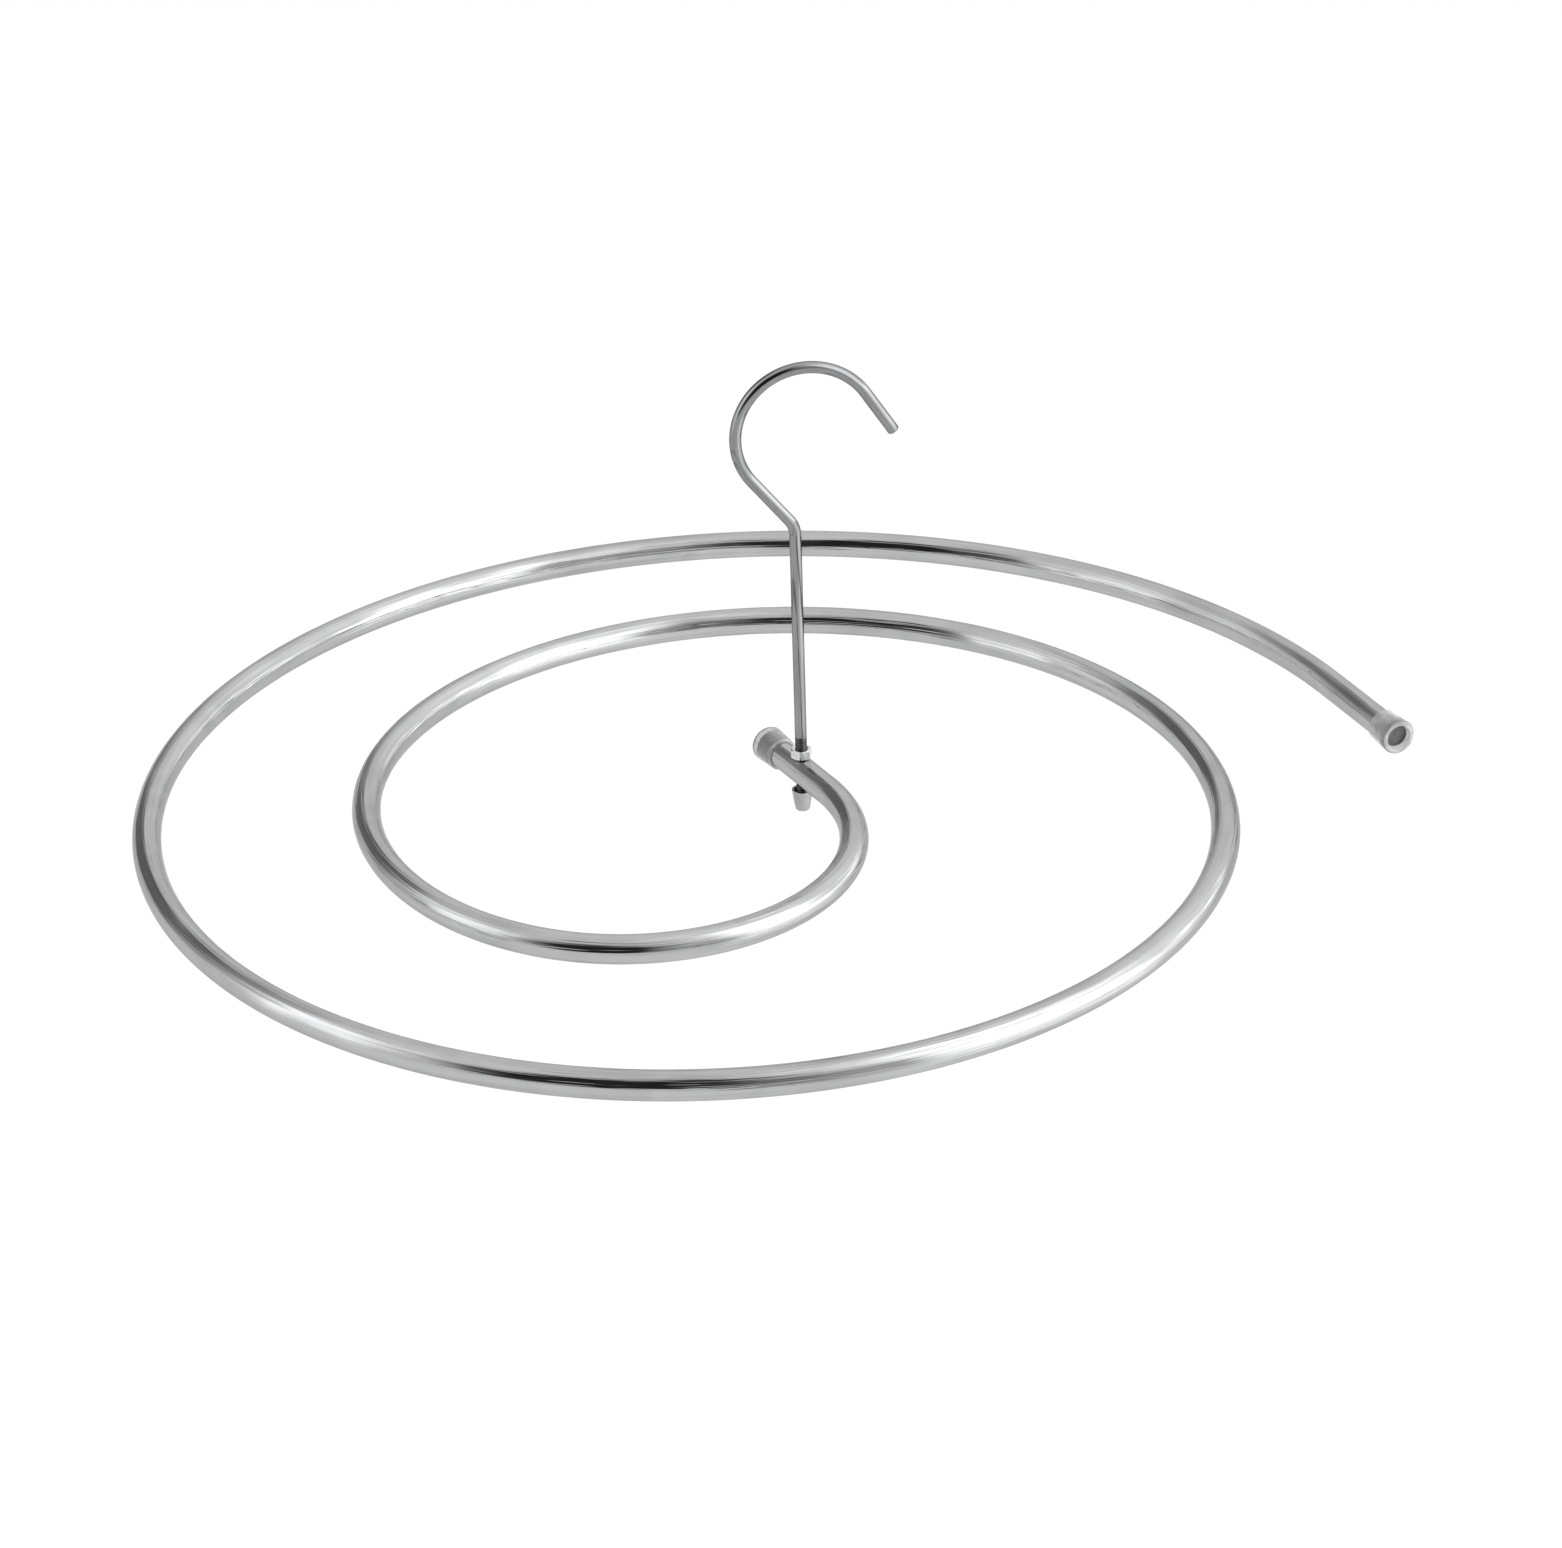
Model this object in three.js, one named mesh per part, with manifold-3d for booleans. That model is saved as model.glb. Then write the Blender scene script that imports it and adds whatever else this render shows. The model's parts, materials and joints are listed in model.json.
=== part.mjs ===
// Spiral hanger for drying a sheet or quilt: a flat spiral of polished tube that turns freely
// on the shank of a wire hook. Millimetres, +Z up. The hook lies in the XZ plane and opens
// towards +X; the origin is the crest inside its crook, where a rail bears.

import * as THREE from 'three';
import { mergeVertices } from 'three/addons/utils/BufferGeometryUtils.js';
import Module from 'manifold-3d';

// Spiral tube
const TUBE_DIAMETER = 12;
const TUBE_WALL = 0.6;
const ENTRY_RADIUS = 89; // bend next to the hook, at the tube's centreline
const ENTRY_SWEEP = 129; // degrees
const FLARE_GROWTH = 58; // radius gained while the bend opens into the spiral
const FLARE_SWEEP = 53; // degrees
const INNER_TURN_GROWTH = 64.5;
const INNER_TURN_SWEEP = 246; // degrees
const OUTER_TURN_GROWTH = 66;
const OUTER_TURN_SWEEP = 297; // degrees
const OUTER_RUN = 53; // straight length at the outer end
const HOOK_TO_CAP = 16.3; // along the straight inner run, shank axis to the inner cap's rim
const HOOK_TO_BEND = 20.9; // along the same run, shank axis to the entry bend
const SPIRAL_HEADING = -72; // degrees from +X, the way the inner run leaves the hook

// Hook
const WIRE_DIAMETER = 5;
const SHANK_RISE = 108.3; // tube centreline to the neck bend
const NECK_RADIUS = 11;
const NECK_ANGLE = 38.5; // degrees
const NECK_RUN = 23.9; // straight between the neck and the crook
const CROOK_RADIUS = 29.4; // centreline
const CROOK_SWEEP = 185.7; // degrees
const TIP_RUN = 21.3;

// Nut above the tube
const NUT_SIDES = 6;
const NUT_TURN = 10; // degrees, +X to a corner
const NUT_HEIGHT = 4;
const NUT_WALL = 1.2; // bore to flats
const NUT_CHAMFER = 0.5; // how far the chamfer runs down a corner

// Cup-shaped cap nut below the tube
const END_FLOAT = 2.9; // play between the tube and the cup's rim
const CUP_RECESS_DEPTH = 4;
const CUP_RECESS_GAP = 1.15; // wire to recess wall
const CUP_THREAD_LENGTH = 3.6;
const CUP_FLOOR = 2;
const CUP_RIM = 0.8;
const CUP_TAPER = 1.25; // the foot's radius is this much smaller than the rim's
const CUP_EDGE_ROUND = 1.2;

// Push-on end caps
const CAP_GRIP = 9.5; // depth of tube inside a cap
const CAP_RIM_WALL = 0.7;
const CAP_FLARE = 0.7; // the closed end's radius is this much larger than the rim's
const CAP_EDGE_ROUND = 0.9;
const CAP_WEB = 1.2;
const CAP_RECESS_DEPTH = 2.5;
const CAP_RING_WIDTH = 2.5; // ring left round the recess in the end face

// Fits
const SEAT_GAP = 0.3; // between pieces that touch
const SWIVEL_CLEARANCE = 0.3; // wire to its hole in the tube
const THREAD_CLEARANCE = 0.3; // wire to the plain bores that stand for threads

// Facets
const TUBE_SIDES = 12;
const TUBE_STEPS = 140;
const WIRE_SIDES = 12;
const WIRE_STEPS = 60;
const ROUND_SIDES = 32;
const EDGE_STEPS = 4;

const tubeRadius = TUBE_DIAMETER / 2;
const wireRadius = WIRE_DIAMETER / 2;
const threadRadius = wireRadius + THREAD_CLEARANCE;
const cupDepth = CUP_RECESS_DEPTH + CUP_THREAD_LENGTH;
const cupTop = -tubeRadius - END_FLOAT;

const wasm = await Module();
wasm.setup();

// A length of tube or wire as it leaves the bender, lying in the XY plane. Each stretch is a
// straight ({ run }) or a bend ({ sweep, radius, growth }); a positive sweep turns left, and the
// radius grows evenly along the sweep.
class BentRun extends THREE.Curve {
  constructor(start, headingDegrees, stretches) {
    super();
    this.pieces = [];
    let at = start.clone();
    let heading = THREE.MathUtils.degToRad(headingDegrees);
    this.runLength = 0;
    for (const { run = 0, sweep = 0, radius = 0, growth = 0 } of stretches) {
      const angle = THREE.MathUtils.degToRad(Math.abs(sweep));
      const length = run + (radius + growth / 2) * angle;
      const rate = angle > 0 ? growth / angle : 0;
      const piece = { at, heading, length, radius, rate, turn: Math.sign(sweep), from: this.runLength };
      this.pieces.push(piece);
      at = this.along(piece, length);
      heading += piece.turn * angle;
      this.runLength += length;
    }
    this.end = at;
    this.endHeading = heading;
  }

  // Angle turned after a length of a bend.
  turned({ radius, rate }, length) {
    if (rate === 0) {
      return length / radius;
    }
    return (Math.sqrt(radius * radius + 2 * rate * length) - radius) / rate;
  }

  along(piece, length) {
    const { at, heading, radius, rate, turn } = piece;
    if (turn === 0) {
      return new THREE.Vector2(Math.cos(heading), Math.sin(heading)).multiplyScalar(length).add(at);
    }
    const angle = this.turned(piece, length);
    const reach = (direction, bend) => new THREE.Vector2(
      rate * Math.cos(direction) + turn * bend * Math.sin(direction),
      rate * Math.sin(direction) - turn * bend * Math.cos(direction),
    );
    const now = reach(heading + turn * angle, radius + rate * angle);
    return now.sub(reach(heading, radius)).add(at);
  }

  getPoint(t, target = new THREE.Vector3()) {
    const length = t * this.runLength;
    const piece = this.pieces.findLast((candidate) => candidate.from <= length) ?? this.pieces[0];
    const { x, y } = this.along(piece, length - piece.from);
    return target.set(x, y, 0);
  }
}

function circle(radius) {
  return new THREE.Path().absarc(0, 0, radius, 0, 2 * Math.PI);
}

// A round section, hollow if it has a bore, swept along a run.
function sweep(path, radius, bore, sides, steps) {
  const section = new THREE.Shape(circle(radius).getPoints(sides / 2));
  if (bore > 0) {
    section.holes.push(new THREE.Path(circle(bore).getPoints(sides / 2)));
  }
  return new THREE.ExtrudeGeometry(section, { steps, extrudePath: path });
}

// A solid of revolution about Z from a profile of [radius, height] points.
function revolve(profile) {
  const points = profile.map(([radius, height]) => new THREE.Vector2(radius, height));
  return new THREE.LatheGeometry(points, ROUND_SIDES).rotateX(Math.PI / 2);
}

// Points of a quarter round from one profile direction to another, angles in degrees.
function roundedEdge(centreRadius, centreHeight, round, fromDegrees, toDegrees) {
  return Array.from({ length: EDGE_STEPS + 1 }, (_, i) => {
    const angle = THREE.MathUtils.degToRad(fromDegrees + (toDegrees - fromDegrees) * i / EDGE_STEPS);
    return [centreRadius + round * Math.cos(angle), centreHeight + round * Math.sin(angle)];
  });
}

function toManifold(geometry) {
  const bare = geometry.clone();
  bare.deleteAttribute('normal');
  bare.deleteAttribute('uv');
  const merged = mergeVertices(bare);
  return new wasm.Manifold(new wasm.Mesh({
    numProp: 3,
    vertProperties: new Float32Array(merged.attributes.position.array),
    triVerts: new Uint32Array(merged.index.array),
  }));
}

function toGeometry(manifold) {
  const { vertProperties, triVerts } = manifold.getMesh();
  const geometry = new THREE.BufferGeometry();
  geometry.setAttribute('position', new THREE.BufferAttribute(vertProperties, 3));
  geometry.setIndex(new THREE.BufferAttribute(triVerts, 1));
  geometry.computeVertexNormals();
  return geometry;
}

const polishedSteel = new THREE.MeshStandardMaterial({ color: 0xc8cacb, roughness: 0.18, metalness: 1 });
const threadedSteel = new THREE.MeshStandardMaterial({ color: 0xb4b6b8, roughness: 0.3, metalness: 1 });
const satinSteel = new THREE.MeshStandardMaterial({ color: 0xa6a8a9, roughness: 0.42, metalness: 1 });
const milkyPlastic = new THREE.MeshStandardMaterial({ color: 0xdfe1e1, roughness: 0.35, metalness: 0 });

function named(name, geometry, material) {
  const mesh = new THREE.Mesh(geometry, material);
  mesh.name = name;
  return mesh;
}

// The spiral's bends, from its inner end to its outer end, seen from above.
function spiralRun() {
  const heading = THREE.MathUtils.degToRad(SPIRAL_HEADING);
  const toEnd = HOOK_TO_CAP + CAP_GRIP;
  const start = new THREE.Vector2(-toEnd * Math.cos(heading), -toEnd * Math.sin(heading));
  const flareRadius = ENTRY_RADIUS + FLARE_GROWTH;
  const outerRadius = flareRadius + INNER_TURN_GROWTH;
  return new BentRun(start, SPIRAL_HEADING, [
    { run: toEnd + HOOK_TO_BEND },
    { sweep: -ENTRY_SWEEP, radius: ENTRY_RADIUS },
    { sweep: -FLARE_SWEEP, radius: ENTRY_RADIUS, growth: FLARE_GROWTH },
    { sweep: -INNER_TURN_SWEEP, radius: flareRadius, growth: INNER_TURN_GROWTH },
    { sweep: -OUTER_TURN_SWEEP, radius: outerRadius, growth: OUTER_TURN_GROWTH },
    { run: OUTER_RUN },
  ]);
}

function spiralTube(run) {
  const tube = sweep(run, tubeRadius, tubeRadius - TUBE_WALL, TUBE_SIDES, TUBE_STEPS);
  const drillRadius = wireRadius + SWIVEL_CLEARANCE;
  const drill = new THREE.CylinderGeometry(drillRadius, drillRadius, 2 * TUBE_DIAMETER, ROUND_SIDES);
  drill.rotateX(Math.PI / 2);
  const drilled = toManifold(tube).subtract(toManifold(drill));
  return named('spiral_tube', toGeometry(drilled), polishedSteel);
}

// A cap with its rim at height 0, its closed end up and the tube's end in its bore.
function endCap(name) {
  const bore = tubeRadius + SEAT_GAP;
  const rim = bore + CAP_RIM_WALL;
  const end = rim + CAP_FLARE;
  const boreDepth = CAP_GRIP + SEAT_GAP;
  const recessFloor = boreDepth + CAP_WEB;
  const length = recessFloor + CAP_RECESS_DEPTH;
  const recess = end - CAP_RING_WIDTH;
  const cap = revolve([
    [0, boreDepth],
    [bore, boreDepth],
    [bore, 0],
    [rim, 0],
    ...roundedEdge(end - CAP_EDGE_ROUND, length - CAP_EDGE_ROUND, CAP_EDGE_ROUND, 0, 90),
    [recess, length],
    [recess, recessFloor],
    [0, recessFloor],
  ]);
  return named(name, cap, milkyPlastic);
}

// Slides a cap onto a tube end that points along a heading.
function pushedOn(cap, end, heading) {
  const seat = new THREE.Group();
  cap.rotation.x = -Math.PI / 2;
  cap.position.y = -CAP_GRIP;
  seat.add(cap);
  seat.position.set(end.x, end.y, 0);
  seat.rotation.z = heading - Math.PI / 2;
  return seat;
}

// The hook's bends in its own plane, x across and y up, from the threaded end to the tip.
function hookRun() {
  const foot = cupTop - cupDepth + SEAT_GAP;
  return new BentRun(new THREE.Vector2(0, foot), 90, [
    { run: SHANK_RISE - foot },
    { sweep: NECK_ANGLE, radius: NECK_RADIUS },
    { run: NECK_RUN },
    { sweep: -CROOK_SWEEP, radius: CROOK_RADIUS },
    { run: TIP_RUN },
  ]);
}

// The crest inside the crook, which is the bend before the tip, in the hook's own plane.
function crookCrest(run) {
  const { at, heading } = run.pieces.at(-2);
  const x = at.x + CROOK_RADIUS * Math.sin(heading);
  const y = at.y - CROOK_RADIUS * Math.cos(heading) + CROOK_RADIUS - wireRadius;
  return { x, y };
}

function hookRod(run) {
  const wire = sweep(run, wireRadius, 0, WIRE_SIDES, WIRE_STEPS).rotateX(Math.PI / 2);
  return named('hook_rod', wire, polishedSteel);
}

function topNut() {
  const flats = threadRadius + NUT_WALL;
  const corners = flats / Math.cos(Math.PI / NUT_SIDES);
  const hexagon = new THREE.Shape(Array.from({ length: NUT_SIDES }, (_, i) => {
    const angle = THREE.MathUtils.degToRad(NUT_TURN + i * 360 / NUT_SIDES);
    return new THREE.Vector2(corners * Math.cos(angle), corners * Math.sin(angle));
  }));
  hexagon.holes.push(new THREE.Path(circle(threadRadius).getPoints(ROUND_SIDES / 2)));
  const blank = new THREE.ExtrudeGeometry(hexagon, { depth: NUT_HEIGHT, bevelEnabled: false });
  const chamfers = revolve([
    [0, 0],
    [flats, 0],
    [corners, NUT_CHAMFER],
    [corners, NUT_HEIGHT - NUT_CHAMFER],
    [flats, NUT_HEIGHT],
    [0, NUT_HEIGHT],
  ]);
  const chamfered = toManifold(blank).intersect(toManifold(chamfers));
  const nut = named('top_nut', toGeometry(chamfered), threadedSteel);
  nut.position.z = tubeRadius + SEAT_GAP;
  return nut;
}

function bottomCapNut() {
  const recess = wireRadius + CUP_RECESS_GAP;
  const rim = recess + CUP_RIM;
  const foot = rim - CUP_TAPER;
  const height = CUP_FLOOR + cupDepth;
  const cup = revolve([
    [0, 0],
    ...roundedEdge(foot - CUP_EDGE_ROUND, CUP_EDGE_ROUND, CUP_EDGE_ROUND, -90, 0),
    [rim, height],
    [recess, height],
    [recess, height - CUP_RECESS_DEPTH],
    [threadRadius, height - CUP_RECESS_DEPTH],
    [threadRadius, CUP_FLOOR],
    [0, CUP_FLOOR],
  ]);
  const nut = named('bottom_cap_nut', cup, satinSteel);
  nut.position.z = cupTop - height;
  return nut;
}

const tubeRun = spiralRun();
const spiral = new THREE.Group();
const innerEnd = tubeRun.pieces[0];
spiral.add(spiralTube(tubeRun));
spiral.add(pushedOn(endCap('inner_end_cap'), innerEnd.at, innerEnd.heading + Math.PI));
spiral.add(pushedOn(endCap('outer_end_cap'), tubeRun.end, tubeRun.endHeading));

const wireRun = hookRun();
const hook = new THREE.Group();
hook.add(hookRod(wireRun));
hook.add(topNut());
hook.add(bottomCapNut());

const hanger = new THREE.Group();
const crest = crookCrest(wireRun);
hanger.add(spiral, hook);
hanger.position.set(-crest.x, 0, -crest.y);

export default hanger;
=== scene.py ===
import json
from cmath import rect
from math import cos, pi, radians, sin, tan

import bmesh
import bpy
from mathutils import Matrix, Vector


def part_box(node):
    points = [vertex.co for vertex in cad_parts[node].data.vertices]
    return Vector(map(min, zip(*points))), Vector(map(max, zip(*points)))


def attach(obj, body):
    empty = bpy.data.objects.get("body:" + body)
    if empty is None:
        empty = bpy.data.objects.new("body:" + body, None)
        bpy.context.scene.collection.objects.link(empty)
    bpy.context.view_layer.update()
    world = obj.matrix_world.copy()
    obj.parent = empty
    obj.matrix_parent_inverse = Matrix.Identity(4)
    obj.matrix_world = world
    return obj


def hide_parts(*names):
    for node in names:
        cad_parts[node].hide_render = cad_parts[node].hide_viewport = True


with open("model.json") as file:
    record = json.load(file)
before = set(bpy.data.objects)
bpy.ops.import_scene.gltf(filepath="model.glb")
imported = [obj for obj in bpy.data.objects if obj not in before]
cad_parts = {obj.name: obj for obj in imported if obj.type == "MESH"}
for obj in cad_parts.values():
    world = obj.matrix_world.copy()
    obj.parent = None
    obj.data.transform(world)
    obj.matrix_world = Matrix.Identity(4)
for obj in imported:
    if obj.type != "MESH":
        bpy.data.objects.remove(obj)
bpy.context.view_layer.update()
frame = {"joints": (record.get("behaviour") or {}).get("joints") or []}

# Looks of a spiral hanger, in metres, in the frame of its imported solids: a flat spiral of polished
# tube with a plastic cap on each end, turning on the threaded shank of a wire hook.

# Places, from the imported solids
SHANK_X, SHANK_Y, TUBE_LEVEL = frame["joints"][0]["pos_m"]
ROD_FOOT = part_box("hook_rod")[0].z
NUT_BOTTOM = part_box("top_nut")[0].z
NUT_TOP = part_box("top_nut")[1].z
CUP_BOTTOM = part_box("bottom_cap_nut")[0].z
CUP_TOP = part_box("bottom_cap_nut")[1].z

# Spiral tube; a sweep is in radians, a negative one turns right
TUBE_RADIUS = 0.006
TUBE_WALL = 0.0006
SPIRAL_HEADING = radians(-72)
ENTRY_RADIUS = 0.089
ENTRY_SWEEP = radians(-129)
FLARE_GROWTH = 0.058
FLARE_SWEEP = radians(-53)
INNER_TURN_GROWTH = 0.0645
INNER_TURN_SWEEP = radians(-246)
OUTER_TURN_GROWTH = 0.066
OUTER_TURN_SWEEP = radians(-297)
OUTER_RUN = 0.053
HOOK_TO_CAP = 0.0163
HOOK_TO_BEND = 0.0209
DRILL_RADIUS = 0.0028
DRILL_DEPTH = 4 * TUBE_RADIUS

# Hook wire
WIRE_RADIUS = 0.0025
SHANK_RISE = 0.1083
NECK_RADIUS = 0.011
NECK_SWEEP = radians(38.5)
NECK_RUN = 0.0239
CROOK_RADIUS = 0.0294
CROOK_SWEEP = radians(-185.7)
TIP_RUN = 0.0213
TIP_ROUND = 0.0007

# Thread; where its crest ends and its root starts and how far it runs out are in pitches
THREAD_PITCH = 0.0008
THREAD_DEPTH = 0.0004
THREAD_ABOVE_NUT = 0.0061
THREAD_CREST = 0.1
THREAD_ROOT = 0.42
THREAD_RUN_OUT = 2.0

# Hexagon nut
NUT_SIDES = 6
NUT_FLATS = 0.004
NUT_FACE = 0.0038
NUT_TURN = radians(10)
NUT_CHAMFER_SLOPE = radians(30)
NUT_BORE = 0.00253
NUT_BORE_CHAMFER = 0.0004
NUT_EDGE = 0.00008

# Cup-shaped cap nut
CUP_RIM = 0.00445
CUP_FOOT = 0.0032
CUP_RECESS = 0.00365
CUP_RECESS_DEPTH = 0.004
CUP_THREAD = 0.00255
CUP_FLOOR = 0.002
CUP_FOOT_ROUND = 0.0012
CUP_RIM_ROUND = 0.0002

# Push-on end caps
CAP_GRIP = 0.0095
CAP_BORE = 0.00603
CAP_RIM = 0.007
CAP_END = 0.0077
CAP_LENGTH = 0.0135
CAP_WEB = 0.0012
CAP_RECESS = 0.0052
CAP_RECESS_DEPTH = 0.0025
CAP_LIP_ROUND = 0.0003
CAP_END_ROUND = 0.0009
CAP_RECESS_ROUND = 0.00035
CAP_GATE_RADIUS = 0.0008
CAP_GATE_HEIGHT = 0.0003
CAP_GATE_TAPER = 0.9

# Painted shade in the caps, 1 being darkest; the pale lip's share of the side and how far a round is shaded
INNER_CAP_PAINTED_SHADE = 0.5
OUTER_CAP_PAINTED_SHADE = 0.04
CAP_END_PAINTED_SHADE = 0.38
CAP_GATE_PAINTED_SHADE = 0.8
CAP_LIP_BAND = 0.08
CAP_PAINTED_SHADE_REACH = 0.6

# Fineness of the meshes
TUBE_SIDES = 40
TUBE_STEP = radians(1)
WIRE_SIDES = 32
WIRE_STEP = radians(2)
STRAIGHT_STEPS = 8
SHANK_STEPS = 24
THREAD_STEPS_PER_PITCH = 10
NUT_COLUMNS = 12
NUT_EDGE_STEPS = 2
ROUND_SIDES = 72
ARC_STEPS = 6
SHARP_EDGE = radians(30)
NUT_SHARP_EDGE = radians(16)
RUN_WELD = 1e-6
RING_WELD = 1e-7

# Camera
AIM_LEFT = 0.0092
AIM_NEAR = 0.0016
AIM = Vector((SHANK_X - AIM_LEFT, SHANK_Y - AIM_NEAR, TUBE_LEVEL))
CAMERA_DISTANCE = 1.9314
CAMERA_HEADING = radians(10.1)
CAMERA_ELEVATION = radians(27.21)
CAMERA_ROLL = radians(1.7)
LENS = 106.0
SENSOR = 36.0


# Sums and nodes

class Num:
    """A number in a node tree; each operation on it adds a Math node."""

    def __init__(self, tree, socket):
        self.tree = tree
        self.socket = socket

    def op(self, operation, *others):
        node = self.tree.nodes.new("ShaderNodeMath")
        node.operation = operation
        for socket, value in zip(node.inputs, (self, *others)):
            feed(self.tree, socket, value)
        return Num(self.tree, node.outputs[0])

    def __add__(self, other):
        return self.op("ADD", other)

    def __sub__(self, other):
        return self.op("SUBTRACT", other)

    def __mul__(self, other):
        return self.op("MULTIPLY", other)

    def __truediv__(self, other):
        return self.op("DIVIDE", other)


def feed(tree, socket, value):
    """Links a socket to where its value comes from, or sets a plain value."""
    if isinstance(value, Num):
        value = value.socket
    if isinstance(value, bpy.types.NodeSocket):
        tree.links.new(value, socket)
    else:
        socket.default_value = value


def add(tree, kind, inputs=None, **settings):
    """Adds a node with its settings and feeds the inputs that are given by name or number."""
    node = tree.nodes.new(kind)
    for name, value in settings.items():
        setattr(node, name, value)
    for key, value in (inputs or {}).items():
        feed(tree, node.inputs[key], value)
    return node


def point(tree, x, y, z=0.0):
    return add(tree, "ShaderNodeCombineXYZ", {0: x, 1: y, 2: z}).outputs[0]


def vector_sum(tree, first, second, operation="ADD"):
    return add(tree, "ShaderNodeVectorMath", {0: first, 1: second}, operation=operation).outputs[0]


def parts(tree, vector):
    """The three numbers of a vector."""
    split = add(tree, "ShaderNodeSeparateXYZ", {0: vector})
    return [Num(tree, socket) for socket in split.outputs]


def ranged(tree, value, low, high, to_low=0.0, to_high=1.0, smooth=False):
    """A value mapped from one range to another, and held at its ends."""
    kind = "SMOOTHSTEP" if smooth else "LINEAR"
    inputs = {"Value": value, "From Min": low, "From Max": high, "To Min": to_low, "To Max": to_high}
    return Num(tree, add(tree, "ShaderNodeMapRange", inputs, interpolation_type=kind).outputs[0])


def new_group(name, kind, inputs, outputs):
    """A node group; gives the tree, the sockets that come in and the sockets that go out."""
    tree = bpy.data.node_groups.new(name, kind)
    for label, socket_type in inputs.items():
        tree.interface.new_socket(label, in_out="INPUT", socket_type="NodeSocket" + socket_type)
    for label, socket_type in outputs.items():
        tree.interface.new_socket(label, in_out="OUTPUT", socket_type="NodeSocket" + socket_type)
    enter = tree.nodes.new("NodeGroupInput").outputs
    leave = tree.nodes.new("NodeGroupOutput").inputs
    return tree, enter, leave


# Bending: the law that tube and wire share

def stretch_place(tree, share, enter):
    """Point, heading and length at a share of a stretch, which may run straight, bend, or both."""
    names = ("Heading", "Run", "Sweep", "Radius", "Growth")
    heading, run, sweep, radius, growth = (Num(tree, enter[name]) for name in names)
    angle = sweep.op("ABSOLUTE")
    turn = sweep.op("SIGN")
    rate = growth / angle

    def reach(way, bend):
        across, along = way.op("SINE"), way.op("COSINE")
        side = turn * bend
        return point(tree, rate * along + side * across, rate * across - side * along)

    way = heading + sweep * share
    bend = radius + growth * share
    straight = point(tree, run * share * heading.op("COSINE"), run * share * heading.op("SINE"))
    bent = vector_sum(tree, reach(way, bend), reach(heading, radius), "SUBTRACT")
    place = vector_sum(tree, enter["Start"], vector_sum(tree, straight, bent))
    length = Num(tree, enter["From"]) + run * share + angle * share * (radius + growth * share * 0.5)
    return place, way, length


def make_stretch():
    """One stretch of a bent run as a line in XY whose points know their length along it."""
    inputs = {"Start": "Vector", "Heading": "Float", "From": "Float", "Steps": "Int",
              "Run": "Float", "Sweep": "Float", "Radius": "Float", "Growth": "Float"}
    outputs = {"Line": "Geometry", "End": "Vector", "End Heading": "Float", "End Length": "Float"}
    tree, enter, leave = new_group("bent stretch", "GeometryNodeTree", inputs, outputs)
    steps = Num(tree, enter["Steps"])
    line = add(tree, "GeometryNodeMeshLine", {"Count": steps + 1.0, "Offset": (0, 0, 0)})
    index = Num(tree, add(tree, "GeometryNodeInputIndex").outputs[0])
    place, _, length = stretch_place(tree, index / steps, enter)
    set_out = add(tree, "GeometryNodeSetPosition", {"Geometry": line.outputs[0], "Position": place})
    measured = store(tree, set_out.outputs[0], "along", "FLOAT", length)
    whole = Num(tree, add(tree, "ShaderNodeValue").outputs[0])
    whole.socket.default_value = 1.0
    end, end_heading, end_length = stretch_place(tree, whole, enter)
    feed(tree, leave["Line"], measured)
    feed(tree, leave["End"], end)
    feed(tree, leave["End Heading"], end_heading)
    feed(tree, leave["End Length"], end_length)
    return tree


def store(tree, geometry, name, data_type, value):
    inputs = {"Geometry": geometry, "Name": name, "Value": value}
    return add(tree, "GeometryNodeStoreNamedAttribute", inputs, data_type=data_type).outputs[0]


def named_value(tree, name, data_type="FLOAT"):
    return add(tree, "GeometryNodeInputNamedAttribute", {"Name": name}, data_type=data_type).outputs[0]


def bent_run(tree, stretch, start, heading, stretches):
    """Stretches set end to end, joined into one curve; gives the curve and its length."""
    join = add(tree, "GeometryNodeJoinGeometry")
    at, way, length = start, heading, 0.0
    for sizes in stretches:
        node = add(tree, "GeometryNodeGroup", node_tree=stretch)
        for label, value in {"Start": at, "Heading": way, "From": length, **sizes}.items():
            feed(tree, node.inputs[label], value)
        tree.links.new(node.outputs["Line"], join.inputs[0])
        at, way, length = (node.outputs[name] for name in ("End", "End Heading", "End Length"))
    welded = add(tree, "GeometryNodeMergeByDistance", {"Geometry": join.outputs[0], "Distance": RUN_WELD})
    curve = add(tree, "GeometryNodeMeshToCurve", {"Mesh": welded.outputs[0]})
    upright = add(tree, "GeometryNodeSetCurveNormal", {"Curve": curve.outputs[0]}, mode="Z_UP")
    return upright.outputs[0], Num(tree, length)


def round_section(tree, radius, sides):
    """A circle whose points remember where they are on it."""
    circle = add(tree, "GeometryNodeCurvePrimitiveCircle", {"Resolution": sides, "Radius": radius})
    where = add(tree, "GeometryNodeInputPosition").outputs[0]
    return store(tree, circle.outputs[0], "section", "FLOAT_VECTOR", where)


def straightened(tree, geometry):
    """Stores each point's place on the run as if it had never been bent: along it, then across it."""
    across, up, _ = parts(tree, named_value(tree, "section", "FLOAT_VECTOR"))
    place = point(tree, named_value(tree, "along"), across, up)
    return store(tree, geometry, "straight", "FLOAT_VECTOR", place)


def finish_tree(tree, geometry, material, leave):
    real = add(tree, "GeometryNodeRealizeInstances", {0: geometry})
    dressed = add(tree, "GeometryNodeSetMaterial", {"Geometry": real.outputs[0], "Material": material})
    feed(tree, leave["Geometry"], dressed.outputs[0])


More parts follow.
